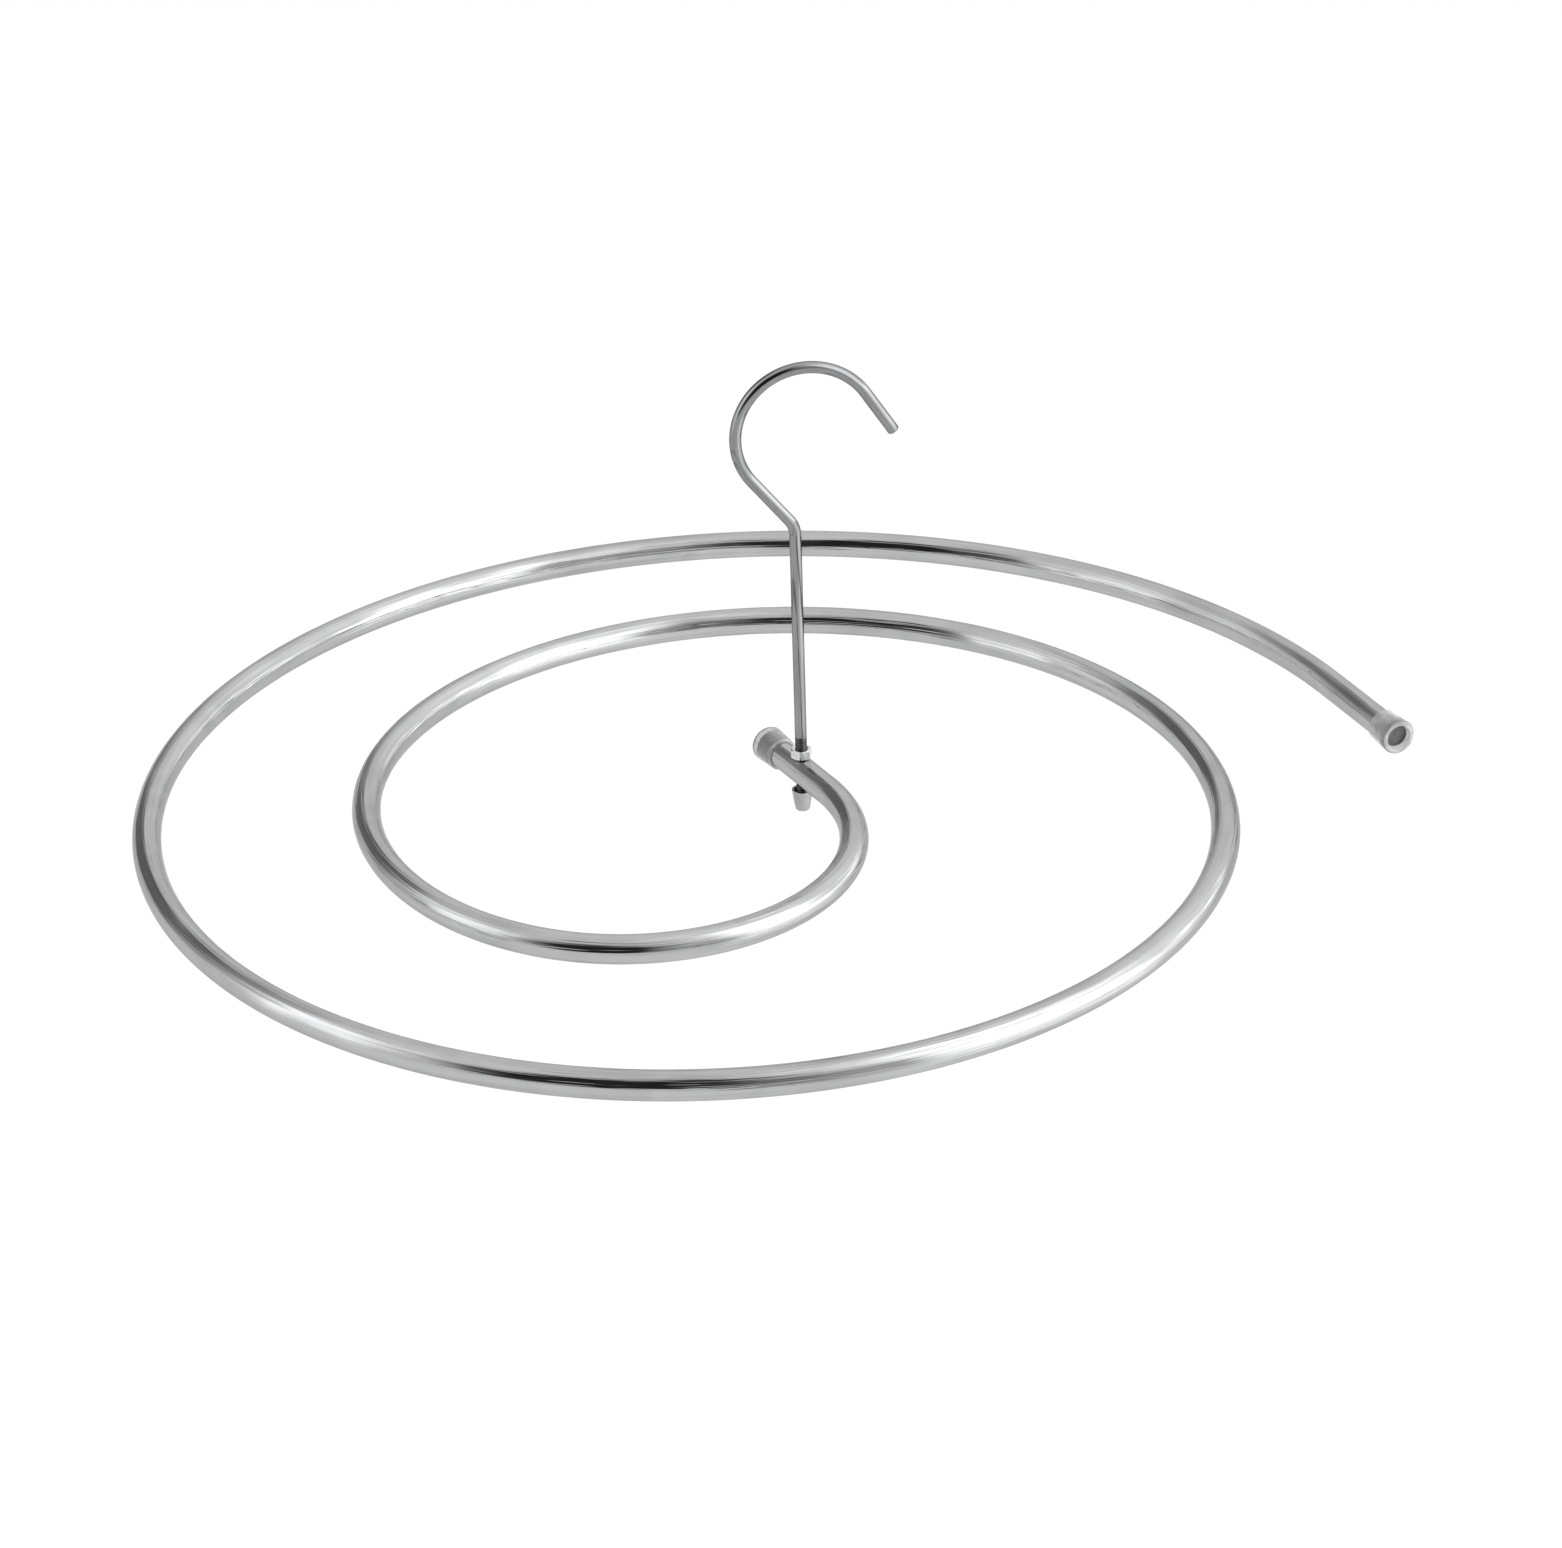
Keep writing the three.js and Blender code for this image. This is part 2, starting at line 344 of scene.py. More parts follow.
def grow(name, stages, blank=None, sharp=SHARP_EDGE):
    """Runs geometry trees and plain modifiers in turn, on a blank if there is one, into a plain mesh."""
    if blank is None:
        blank = bpy.data.meshes.new(name + "_blank")
    carrier = bpy.data.objects.new(name + "_carrier", blank)
    bpy.context.scene.collection.objects.link(carrier)
    for kind, settings in stages:
        if isinstance(kind, bpy.types.NodeTree):
            modifier = carrier.modifiers.new(kind.name, "NODES")
            modifier.node_group = kind
            for item in kind.interface.items_tree:
                if item.in_out == "INPUT" and item.name in settings:
                    modifier[item.identifier] = settings[item.name]
        else:
            modifier = carrier.modifiers.new(kind.lower(), kind)
            for key, value in settings.items():
                setattr(modifier, key, value)
    graph = bpy.context.evaluated_depsgraph_get()
    mesh = bpy.data.meshes.new_from_object(
        carrier.evaluated_get(graph), preserve_all_data_layers=True, depsgraph=graph)
    bpy.data.objects.remove(carrier)
    return piece(name, mesh, sharp)


def piece(name, mesh, sharp=SHARP_EDGE):
    """A finished mesh as an object at the origin, smooth but for its sharp edges."""
    mesh.name = name
    mesh.shade_smooth()
    mesh.set_sharp_from_angle(angle=sharp)
    made = bpy.data.objects.new(name, mesh)
    bpy.context.scene.collection.objects.link(made)
    return made


# Spiral tube

SPIRAL_STRETCHES = [
    {"run": HOOK_TO_CAP + CAP_GRIP + HOOK_TO_BEND},
    {"sweep": ENTRY_SWEEP, "radius": ENTRY_RADIUS},
    {"sweep": FLARE_SWEEP, "radius": ENTRY_RADIUS, "growth": FLARE_GROWTH},
    {"sweep": INNER_TURN_SWEEP, "radius": ENTRY_RADIUS + FLARE_GROWTH, "growth": INNER_TURN_GROWTH},
    {"sweep": OUTER_TURN_SWEEP, "radius": ENTRY_RADIUS + FLARE_GROWTH + INNER_TURN_GROWTH,
     "growth": OUTER_TURN_GROWTH},
    {"run": OUTER_RUN},
]


def spiral_start():
    behind = rect(HOOK_TO_CAP + CAP_GRIP, SPIRAL_HEADING)
    return complex(SHANK_X, SHANK_Y) - behind


def spiral_end():
    """Place and heading of the outer end, by the same law as the tree's, with x + yi for a point."""
    at, heading = spiral_start(), SPIRAL_HEADING
    for sizes in SPIRAL_STRETCHES:
        run, sweep = sizes.get("run", 0.0), sizes.get("sweep", 0.0)
        radius, growth = sizes.get("radius", 0.0), sizes.get("growth", 0.0)
        at += rect(run, heading)
        if sweep:
            rate = growth / abs(sweep)
            turn = 1 if sweep > 0 else -1
            before = complex(rate, -turn * radius) * rect(1, heading)
            heading += sweep
            at += complex(rate, -turn * (radius + growth)) * rect(1, heading) - before
    return at, heading


def make_tube_wall(stretch):
    """The tube's outside as an open surface, swept along the spiral."""
    inputs = {"Start": "Vector", "Heading": "Float", "Tube Radius": "Float", "Sides": "Int",
              "Finish": "Material"}
    for i, sizes in enumerate(SPIRAL_STRETCHES):
        inputs.update({f"{key.title()} {i + 1}": "Float" for key in sizes})
        inputs[f"Steps {i + 1}"] = "Int"
    tree, enter, leave = new_group("tube wall", "GeometryNodeTree", inputs, {"Geometry": "Geometry"})
    stretches = []
    for i, sizes in enumerate(SPIRAL_STRETCHES):
        names = [key.title() for key in sizes] + ["Steps"]
        stretches.append({name: enter[f"{name} {i + 1}"] for name in names})
    curve, _ = bent_run(tree, stretch, enter["Start"], enter["Heading"], stretches)
    section = round_section(tree, enter["Tube Radius"], enter["Sides"])
    wall = add(tree, "GeometryNodeCurveToMesh", {"Curve": curve, "Profile Curve": section})
    finish_tree(tree, straightened(tree, wall.outputs[0]), enter["Finish"], leave)
    return tree


def make_cross_drill():
    """A hole straight down through the tube for the rod."""
    inputs = {"Geometry": "Geometry", "Drill Place": "Vector", "Drill Radius": "Float", "Depth": "Float",
              "Finish": "Material"}
    tree, enter, leave = new_group("cross drill", "GeometryNodeTree", inputs, {"Geometry": "Geometry"})
    drill = add(tree, "GeometryNodeMeshCylinder",
                {"Vertices": ROUND_SIDES, "Radius": enter["Drill Radius"], "Depth": enter["Depth"]})
    placed = add(tree, "GeometryNodeTransform",
                 {"Geometry": drill.outputs[0], "Translation": enter["Drill Place"]})
    drilled = add(tree, "GeometryNodeMeshBoolean",
                  {"Mesh 1": enter["Geometry"], "Mesh 2": placed.outputs[0]}, solver="MANIFOLD")
    finish_tree(tree, drilled.outputs[0], enter["Finish"], leave)
    return tree


def spiral_tube(stretch, finish):
    start = spiral_start()
    sizes = {"Start": (start.real, start.imag, TUBE_LEVEL), "Heading": SPIRAL_HEADING,
             "Tube Radius": TUBE_RADIUS, "Sides": TUBE_SIDES, "Finish": finish}
    for i, stretch_sizes in enumerate(SPIRAL_STRETCHES):
        sizes.update({f"{key.title()} {i + 1}": value for key, value in stretch_sizes.items()})
        turn_steps = round(abs(stretch_sizes.get("sweep", 0.0)) / TUBE_STEP)
        sizes[f"Steps {i + 1}"] = max(STRAIGHT_STEPS, turn_steps)
    drill = {"Drill Place": (SHANK_X, SHANK_Y, TUBE_LEVEL), "Drill Radius": DRILL_RADIUS,
             "Depth": DRILL_DEPTH, "Finish": finish}
    return grow("spiral_tube_polished", [
        (make_tube_wall(stretch), sizes),
        ("SOLIDIFY", {"thickness": TUBE_WALL, "offset": -1.0}),
        (make_cross_drill(), drill),
    ])


# Hook

def make_hook(stretch):
    """The wire from its threaded foot to its rounded tip, bent in its own plane and then stood up."""
    lengths = ("Thread Length", "Shank Run", "Neck Radius", "Neck Sweep", "Neck Run", "Crook Radius",
               "Crook Sweep", "Tip Run", "Tip Round", "Wire Radius", "Pitch", "Thread Depth")
    inputs = {name: "Float" for name in lengths}
    inputs.update({"Foot": "Vector", "Sides": "Int", "Thread Steps": "Int", "Neck Steps": "Int",
                   "Crook Steps": "Int", "Finish": "Material"})
    tree, enter, leave = new_group("hook wire", "GeometryNodeTree", inputs, {"Geometry": "Geometry"})
    tip_round = Num(tree, enter["Tip Round"])
    curve, length = bent_run(tree, stretch, (0, 0, 0), pi / 2, [
        {"Run": enter["Thread Length"], "Steps": enter["Thread Steps"]},
        {"Run": enter["Shank Run"], "Steps": SHANK_STEPS},
        {"Sweep": enter["Neck Sweep"], "Radius": enter["Neck Radius"], "Steps": enter["Neck Steps"]},
        {"Run": enter["Neck Run"], "Steps": STRAIGHT_STEPS},
        {"Sweep": enter["Crook Sweep"], "Radius": enter["Crook Radius"], "Steps": enter["Crook Steps"]},
        {"Run": Num(tree, enter["Tip Run"]) - tip_round, "Steps": STRAIGHT_STEPS},
        {"Run": tip_round, "Steps": ARC_STEPS},
    ])
    along = Num(tree, named_value(tree, "along"))
    rounded = ranged(tree, along, length - tip_round, length)
    drop = (rounded * rounded * -1.0 + 1.0).op("SQRT") * -1.0 + 1.0
    thickness = drop * tip_round / enter["Wire Radius"] * -1.0 + 1.0
    section = round_section(tree, enter["Wire Radius"], enter["Sides"])
    wire = add(tree, "GeometryNodeCurveToMesh",
               {"Curve": curve, "Profile Curve": section, "Scale": thickness, "Fill Caps": True})
    lying = straightened(tree, wire.outputs[0])
    stood = add(tree, "GeometryNodeTransform",
                {"Geometry": lying, "Rotation": (pi / 2, 0, 0), "Translation": enter["Foot"]})
    threaded = cut_thread(tree, enter, stood.outputs[0])
    finish_tree(tree, threaded, enter["Finish"], leave)
    return tree


def cut_thread(tree, enter, geometry):
    """Presses a right-hand thread into the foot of the rod and marks how deep each point went."""
    where = add(tree, "GeometryNodeInputPosition").outputs[0]
    x, y, z = parts(tree, vector_sum(tree, where, enter["Foot"], "SUBTRACT"))
    pitch = Num(tree, enter["Pitch"])
    end = Num(tree, enter["Thread Length"])
    phase = z / pitch - y.op("ARCTAN2", x) / (2 * pi)
    wave = phase.op("PINGPONG", 0.5)
    run_out = ranged(tree, z, end - pitch * THREAD_RUN_OUT, end, 1.0, 0.0)
    cut = ranged(tree, wave, THREAD_CREST, THREAD_ROOT) * run_out
    cut = cut * z.op("LESS_THAN", end)
    normal = add(tree, "GeometryNodeInputNormal").outputs[0]
    sunk = add(tree, "ShaderNodeVectorMath", {0: normal, "Scale": cut * enter["Thread Depth"] * -1.0},
               operation="SCALE")
    marked = store(tree, geometry, "thread_depth", "FLOAT", cut)
    kept = store(tree, marked, "thread", "FLOAT", ranged(tree, z, end - pitch, end, 1.0, 0.0))
    pressed = add(tree, "GeometryNodeSetPosition", {"Geometry": kept, "Offset": sunk.outputs[0]})
    return pressed.outputs[0]


def hook_rod(stretch, finish):
    thread_length = NUT_TOP + THREAD_ABOVE_NUT - ROD_FOOT
    sizes = {
        "Foot": (SHANK_X, SHANK_Y, ROD_FOOT),
        "Thread Length": thread_length,
        "Thread Steps": round(thread_length / THREAD_PITCH * THREAD_STEPS_PER_PITCH),
        "Shank Run": TUBE_LEVEL + SHANK_RISE - ROD_FOOT - thread_length,
        "Neck Radius": NECK_RADIUS,
        "Neck Sweep": NECK_SWEEP,
        "Neck Steps": round(NECK_SWEEP / WIRE_STEP),
        "Neck Run": NECK_RUN,
        "Crook Radius": CROOK_RADIUS,
        "Crook Sweep": CROOK_SWEEP,
        "Crook Steps": round(-CROOK_SWEEP / WIRE_STEP),
        "Tip Run": TIP_RUN,
        "Tip Round": TIP_ROUND,
        "Wire Radius": WIRE_RADIUS,
        "Sides": WIRE_SIDES,
        "Pitch": THREAD_PITCH,
        "Thread Depth": THREAD_DEPTH,
        "Finish": finish,
    }
    return grow("hook_rod_bent_wire", [(make_hook(stretch), sizes)])


# Turned and hexagonal pieces

def arc(centre_radius, centre_height, radius, start, end):
    """Points of a round in a turned profile, from one direction to another in degrees."""
    for i in range(ARC_STEPS + 1):
        angle = radians(start + (end - start) * i / ARC_STEPS)
        yield centre_radius + radius * cos(angle), centre_height + radius * sin(angle)


def ringed_mesh(name, rings, finish, place=Matrix(), mark="", levels=()):
    """A closed mesh from rings in turn, a pole being a ring of one point; a mark has a level per ring."""
    form = bmesh.new()
    layer = form.verts.layers.float.new(mark) if mark else None
    made = [[form.verts.new(place @ Vector(spot)) for spot in ring] for ring in rings]
    for ring, level in zip(made, levels):
        for vertex in ring:
            vertex[layer] = level
    for lower, upper in zip(made, made[1:]):
        count = max(len(lower), len(upper))
        for i in range(count):
            j = (i + 1) % count
            corners = [lower[i % len(lower)], lower[j % len(lower)],
                       upper[j % len(upper)], upper[i % len(upper)]]
            form.faces.new(dict.fromkeys(corners))
    bmesh.ops.remove_doubles(form, verts=form.verts, dist=RING_WELD)
    bmesh.ops.recalc_face_normals(form, faces=form.faces)
    mesh = bpy.data.meshes.new(name)
    form.to_mesh(mesh)
    form.free()
    mesh.materials.append(finish)
    return mesh


def turned_rings(profile):
    """Rings about Z from a profile of radius and height."""
    turns = [2 * pi * i / ROUND_SIDES for i in range(ROUND_SIDES)]
    for radius, height in profile:
        if radius == 0:
            yield [(0, 0, height)]
        else:
            yield [(radius * cos(turn), radius * sin(turn), height) for turn in turns]


def top_nut(finish):
    """A hexagon nut: a turned chamfer runs into each flat in a curve, at the top and at the bottom."""
    height = NUT_TOP - NUT_BOTTOM
    side = 2 * pi / NUT_SIDES
    turns = [side * i / NUT_COLUMNS for i in range(NUT_SIDES * NUT_COLUMNS)]
    reaches = [NUT_FLATS / cos((turn % side) - side / 2) for turn in turns]
    drops = [(reach - NUT_FACE) * tan(NUT_CHAMFER_SLOPE) for reach in reaches]
    mouth = NUT_BORE + NUT_BORE_CHAMFER

    def ring(radii, heights):
        return [(r * cos(NUT_TURN + t), r * sin(NUT_TURN + t), NUT_BOTTOM + h)
                for t, r, h in zip(turns, radii, heights)]

    def even(radius, level):
        return ring([radius] * len(turns), [level] * len(turns))

    rings = [
        even(NUT_BORE, NUT_BORE_CHAMFER),
        even(mouth, 0),
        even(NUT_FACE, 0),
        ring(reaches, drops),
        ring(reaches, [height - drop for drop in drops]),
        even(NUT_FACE, height),
        even(mouth, height),
        even(NUT_BORE, height - NUT_BORE_CHAMFER),
        even(NUT_BORE, NUT_BORE_CHAMFER),
    ]
    blank = ringed_mesh("nut_blank", rings, finish, Matrix.Translation((SHANK_X, SHANK_Y, 0)))
    bevel = {"width": NUT_EDGE, "segments": NUT_EDGE_STEPS, "limit_method": "ANGLE"}
    return grow("top_nut_hexagon", [("BEVEL", bevel)], blank, NUT_SHARP_EDGE)


def bottom_cap_nut(finish):
    """A turned cup: tapered wall, rounded foot, open recess and a blind hole for the rod's end."""
    height = CUP_TOP - CUP_BOTTOM
    shelf = height - CUP_RECESS_DEPTH
    edge = CUP_RIM_ROUND
    profile = [
        (0, 0),
        *arc(CUP_FOOT - CUP_FOOT_ROUND, CUP_FOOT_ROUND, CUP_FOOT_ROUND, -90, 0),
        *arc(CUP_RIM - edge, height - edge, edge, 0, 90),
        *arc(CUP_RECESS + edge, height - edge, edge, 90, 180),
        *arc(CUP_RECESS - edge, shelf + edge, edge, 0, -90),
        (CUP_THREAD, shelf),
        (CUP_THREAD, CUP_FLOOR),
        (0, CUP_FLOOR),
    ]
    place = Matrix.Translation((SHANK_X, SHANK_Y, CUP_BOTTOM))
    return piece("bottom_cap_nut_turned", ringed_mesh("cup", turned_rings(profile), finish, place))


def end_cap(name, end, heading, finish, side_painted_shade):
    """A moulded cap pushed over a tube end: rounded lip, flared side, ring round a shallow recess, with
    painted shade in its recess, on its side and on its round end.
    """
    floor = CAP_LENGTH - CAP_RECESS_DEPTH
    soft = CAP_RECESS_ROUND
    side_end = CAP_LENGTH - CAP_END_ROUND
    lip_end = CAP_LIP_ROUND + CAP_LIP_BAND * (side_end - CAP_LIP_ROUND)
    profile = [
        (0, floor - CAP_WEB),
        (CAP_BORE, floor - CAP_WEB),
        (CAP_BORE, 0),
        *arc(CAP_RIM - CAP_LIP_ROUND, CAP_LIP_ROUND, CAP_LIP_ROUND, -90, 0),
        (CAP_RIM + CAP_LIP_BAND * (CAP_END - CAP_RIM), lip_end),
        *arc(CAP_END - CAP_END_ROUND, side_end, CAP_END_ROUND, 0, 90),
        *arc(CAP_RECESS + soft, CAP_LENGTH - soft, soft, 90, 180),
        *arc(CAP_RECESS - soft, floor + soft, soft, 0, -90),
        (CAP_GATE_RADIUS, floor),
        (CAP_GATE_RADIUS * CAP_GATE_TAPER, floor + CAP_GATE_HEIGHT),
        (0, floor + CAP_GATE_HEIGHT),
    ]

    def shade(radius, height):
        """Painted shade, darkest on the recess floor, paler on its gate; some on the side and its round
        end.
        """
        if height > floor - CAP_WEB / 2 and radius < CAP_RECESS - CAP_PAINTED_SHADE_REACH * soft:
            return 1.0 if radius > CAP_GATE_RADIUS else CAP_GATE_PAINTED_SHADE
        if radius > CAP_RIM and CAP_LIP_ROUND < height < side_end:
            return side_painted_shade
        on_round = radius > CAP_END - CAP_PAINTED_SHADE_REACH * CAP_END_ROUND
        return max(CAP_END_PAINTED_SHADE, side_painted_shade) if on_round else 0.0

    painted_shades = [shade(radius, height) for radius, height in profile]
    place = (Matrix.Translation((end.real, end.imag, TUBE_LEVEL)) @ Matrix.Rotation(heading, 4, "Z")
             @ Matrix.Rotation(pi / 2, 4, "Y") @ Matrix.Translation((0, 0, -CAP_GRIP)))
    return piece(name, ringed_mesh(name, turned_rings(profile), finish, place, "shade", painted_shades))


# Patterns that finishes share

WAVE_STRETCH = 3.0


def noise(tree, inputs, **settings):
    return Num(tree, add(tree, "ShaderNodeTexNoise", inputs, **settings).outputs["Fac"])


def make_drawn_lines():
    """Fine lines left along a drawn and polished length, from its straightened coordinates."""
    inputs = {"Straight": "Vector", "Lines Per Metre": "Float", "Stretch": "Float"}
    tree, enter, leave = new_group("drawn lines", "ShaderNodeTree", inputs, {"Lines": "Float"})
    along, across, up = parts(tree, enter["Straight"])
    drawn = point(tree, along / enter["Stretch"], across, up)
    lines = noise(tree, {"Vector": drawn, "Scale": enter["Lines Per Metre"],
                         "Detail": 3.0, "Roughness": 0.6})
    feed(tree, leave["Lines"], ranged(tree, lines, low=0.25, high=0.75, smooth=True))
    return tree


def make_bender_waves():
    """Slow waves that bending leaves in a length, which make its reflections wander."""
    inputs = {"Straight": "Vector", "Waves Per Metre": "Float"}
    tree, enter, leave = new_group("bender waves", "ShaderNodeTree", inputs, {"Waves": "Float"})
    along, across, up = parts(tree, enter["Straight"])
    slow = point(tree, along / WAVE_STRETCH, across, up)
    waves = noise(tree, {"Vector": slow, "Scale": enter["Waves Per Metre"], "Detail": 1.0})
    feed(tree, leave["Waves"], waves)
    return tree


def make_handling_marks():
    """Cloudy patches where hands and packing have dulled the shine."""
    inputs = {"Place": "Vector", "Patches Per Metre": "Float"}
    tree, enter, leave = new_group("handling marks", "ShaderNodeTree", inputs, {"Marks": "Float"})
    patches = noise(tree, {"Vector": enter["Place"], "Scale": enter["Patches Per Metre"],
                           "Detail": 4.0, "Roughness": 0.55, "Distortion": 0.6})
    feed(tree, leave["Marks"], ranged(tree, patches, low=0.42, high=0.68, smooth=True))
    return tree


# Finishes; a roughness and a relief say what each pattern adds, a relief in metres

DULLING = {"lines": 0.65, "marks": 0.35}

TUBE_BRIGHT = (0.48, 0.482, 0.485, 1)
TUBE_DULLED = (0.36, 0.362, 0.365, 1)
TUBE_EDGE = (0.65, 0.65, 0.65, 1)
TUBE_ROUGHNESS = {"even": 0.06, "lines": 0.04, "marks": 0.05}
TUBE_RELIEF = {"waves": 0.003, "lines": 0.0002}

WIRE_BRIGHT = (0.29, 0.292, 0.295, 1)
WIRE_DULLED = (0.21, 0.212, 0.215, 1)
WIRE_EDGE = (0.45, 0.45, 0.45, 1)
WIRE_ROUGHNESS = {"even": 0.05, "lines": 0.03, "marks": 0.04, "thread": 0.15}
WIRE_RELIEF = {"waves": 0.0006, "lines": 0.00002}
THREAD_BRIGHT = (0.16, 0.16, 0.162, 1)
THREAD_DARK = (0.02, 0.02, 0.022, 1)

NUT_BRIGHT = (0.62, 0.622, 0.625, 1)
NUT_DULLED = (0.5, 0.502, 0.505, 1)
NUT_ROUGHNESS = {"even": 0.08, "marks": 0.1, "grain": 0.06}
NUT_RELIEF = {"grain": 0.000002}

SATIN_BRIGHT = (0.4, 0.402, 0.405, 1)
SATIN_DULLED = (0.34, 0.342, 0.345, 1)
SATIN_ROUGHNESS = {"even": 0.38, "marks": 0.08, "grain": 0.08}
SATIN_RELIEF_SHARES = {"rings": 0.7, "grain": 0.3}
SATIN_RELIEF_HEIGHT = 0.00003
SATIN_RELIEF_STRENGTH = 0.2

PLASTIC_PALE = (0.92, 0.923, 0.925, 1)
PLASTIC_CLOUDY = (0.66, 0.663, 0.665, 1)
# Colours of the painted shade in the caps, the second where handling marks lie
PLASTIC_PAINTED_SHADE = (0.05, 0.051, 0.052, 1)
PLASTIC_MARKED_PAINTED_SHADE = (0.03, 0.031, 0.032, 1)
PLASTIC_ROUGHNESS = {"even": 0.1, "marks": 0.08}
PLASTIC_RELIEF_HEIGHT = 0.00008
PLASTIC_RELIEF_STRENGTH = 0.15
PLASTIC_IOR = 1.46
PLASTIC_CLEARNESS = 0.64


def new_finish(name):
    """A material with its surface shader; gives the material, its tree and the shader."""
    material = bpy.data.materials.new(name)
    material.use_nodes = True
    tree = material.node_tree
    return material, tree, tree.nodes["Principled BSDF"]


def effect(tree, group, inputs):
    node = add(tree, "ShaderNodeGroup", node_tree=group)
    for label, value in inputs.items():
        feed(tree, node.inputs[label], value)
    return Num(tree, node.outputs[0])


def weighed(weights, **patterns):
    """Patterns added up by their weights, and an even part if the weights have one."""
    total = None
    for name, pattern in patterns.items():
        share = pattern * weights[name]
        total = share if total is None else total + share
    return total + weights["even"] if "even" in weights else total


def tinted(tree, factor, first, second):
    """A colour between two, by a factor."""
    return add(tree, "ShaderNodeMix", {0: factor, 6: first, 7: second}, data_type="RGBA").outputs[2]


def bumped(tree, shader, height, distance=1.0, strength=1.0):
    bump = add(tree, "ShaderNodeBump", {"Height": height, "Distance": distance, "Strength": strength})
    feed(tree, shader.inputs["Normal"], bump.outputs[0])


def object_place(tree):
    return add(tree, "ShaderNodeTexCoord").outputs["Object"]


def surface_value(tree, name):
    return add(tree, "ShaderNodeAttribute", attribute_name=name)


def polished_tube(lines_group, waves_group, marks_group):
    material, tree, shader = new_finish("polished_tube")
    straight = surface_value(tree, "straight").outputs["Vector"]
    lines = effect(tree, lines_group, {"Straight": straight, "Lines Per Metre": 420.0, "Stretch": 60.0})
    waves = effect(tree, waves_group, {"Straight": straight, "Waves Per Metre": 45.0})
    marks = effect(tree, marks_group, {"Place": object_place(tree), "Patches Per Metre": 28.0})
    dulled = weighed(DULLING, lines=lines, marks=marks)
    feed(tree, shader.inputs["Base Color"], tinted(tree, dulled, TUBE_BRIGHT, TUBE_DULLED))
    feed(tree, shader.inputs["Roughness"], weighed(TUBE_ROUGHNESS, lines=lines, marks=marks))
    shader.inputs["Metallic"].default_value = 1.0
    shader.inputs["Specular Tint"].default_value = TUBE_EDGE
    bumped(tree, shader, weighed(TUBE_RELIEF, waves=waves, lines=lines))
    return material


def polished_wire(lines_group, waves_group, marks_group):
    """Bright wire that darkens in the grooves of its thread."""
    material, tree, shader = new_finish("polished_wire")
    straight = surface_value(tree, "straight").outputs["Vector"]
    lines = effect(tree, lines_group, {"Straight": straight, "Lines Per Metre": 900.0, "Stretch": 70.0})
    waves = effect(tree, waves_group, {"Straight": straight, "Waves Per Metre": 80.0})
    marks = effect(tree, marks_group, {"Place": object_place(tree), "Patches Per Metre": 60.0})
    depth = surface_value(tree, "thread_depth").outputs["Fac"]
    thread = Num(tree, surface_value(tree, "thread").outputs["Fac"])
    dulled = weighed(DULLING, lines=lines, marks=marks)
    plain = tinted(tree, dulled, WIRE_BRIGHT, WIRE_DULLED)
    grooved = tinted(tree, depth, THREAD_BRIGHT, THREAD_DARK)
    feed(tree, shader.inputs["Base Color"], tinted(tree, thread, plain, grooved))
    feed(tree, shader.inputs["Roughness"], weighed(WIRE_ROUGHNESS, lines=lines, marks=marks, thread=thread))
    shader.inputs["Metallic"].default_value = 1.0
    shader.inputs["Specular Tint"].default_value = WIRE_EDGE
    bumped(tree, shader, weighed(WIRE_RELIEF, waves=waves, lines=lines))
    return material


def nut_steel(marks_group):
    material, tree, shader = new_finish("nut_steel")
    place = object_place(tree)
    marks = effect(tree, marks_group, {"Place": place, "Patches Per Metre": 420.0})
    grain = noise(tree, {"Vector": place, "Scale": 3500.0, "Detail": 3.0})
    feed(tree, shader.inputs["Base Color"], tinted(tree, marks, NUT_BRIGHT, NUT_DULLED))
    feed(tree, shader.inputs["Roughness"], weighed(NUT_ROUGHNESS, marks=marks, grain=grain))
    shader.inputs["Metallic"].default_value = 1.0
    bumped(tree, shader, weighed(NUT_RELIEF, grain=grain))
    return material


def satin_steel(marks_group):
    """Turned and then tumbled: faint rings round the cup under a fine even grain."""
    material, tree, shader = new_finish("satin_steel")
    place = object_place(tree)
    _, _, height = parts(tree, place)
    rings = noise(tree, {"W": height * 5200.0, "Scale": 1.0, "Detail": 2.0}, noise_dimensions="1D")
    grain = noise(tree, {"Vector": place, "Scale": 5200.0, "Detail": 2.0})
    marks = effect(tree, marks_group, {"Place": place, "Patches Per Metre": 260.0})
    relief = weighed(SATIN_RELIEF_SHARES, rings=rings, grain=grain)
    feed(tree, shader.inputs["Base Color"], tinted(tree, marks, SATIN_BRIGHT, SATIN_DULLED))
    feed(tree, shader.inputs["Roughness"], weighed(SATIN_ROUGHNESS, marks=marks, grain=grain))
    shader.inputs["Metallic"].default_value = 1.0
    bumped(tree, shader, relief, SATIN_RELIEF_HEIGHT, SATIN_RELIEF_STRENGTH)
    return material


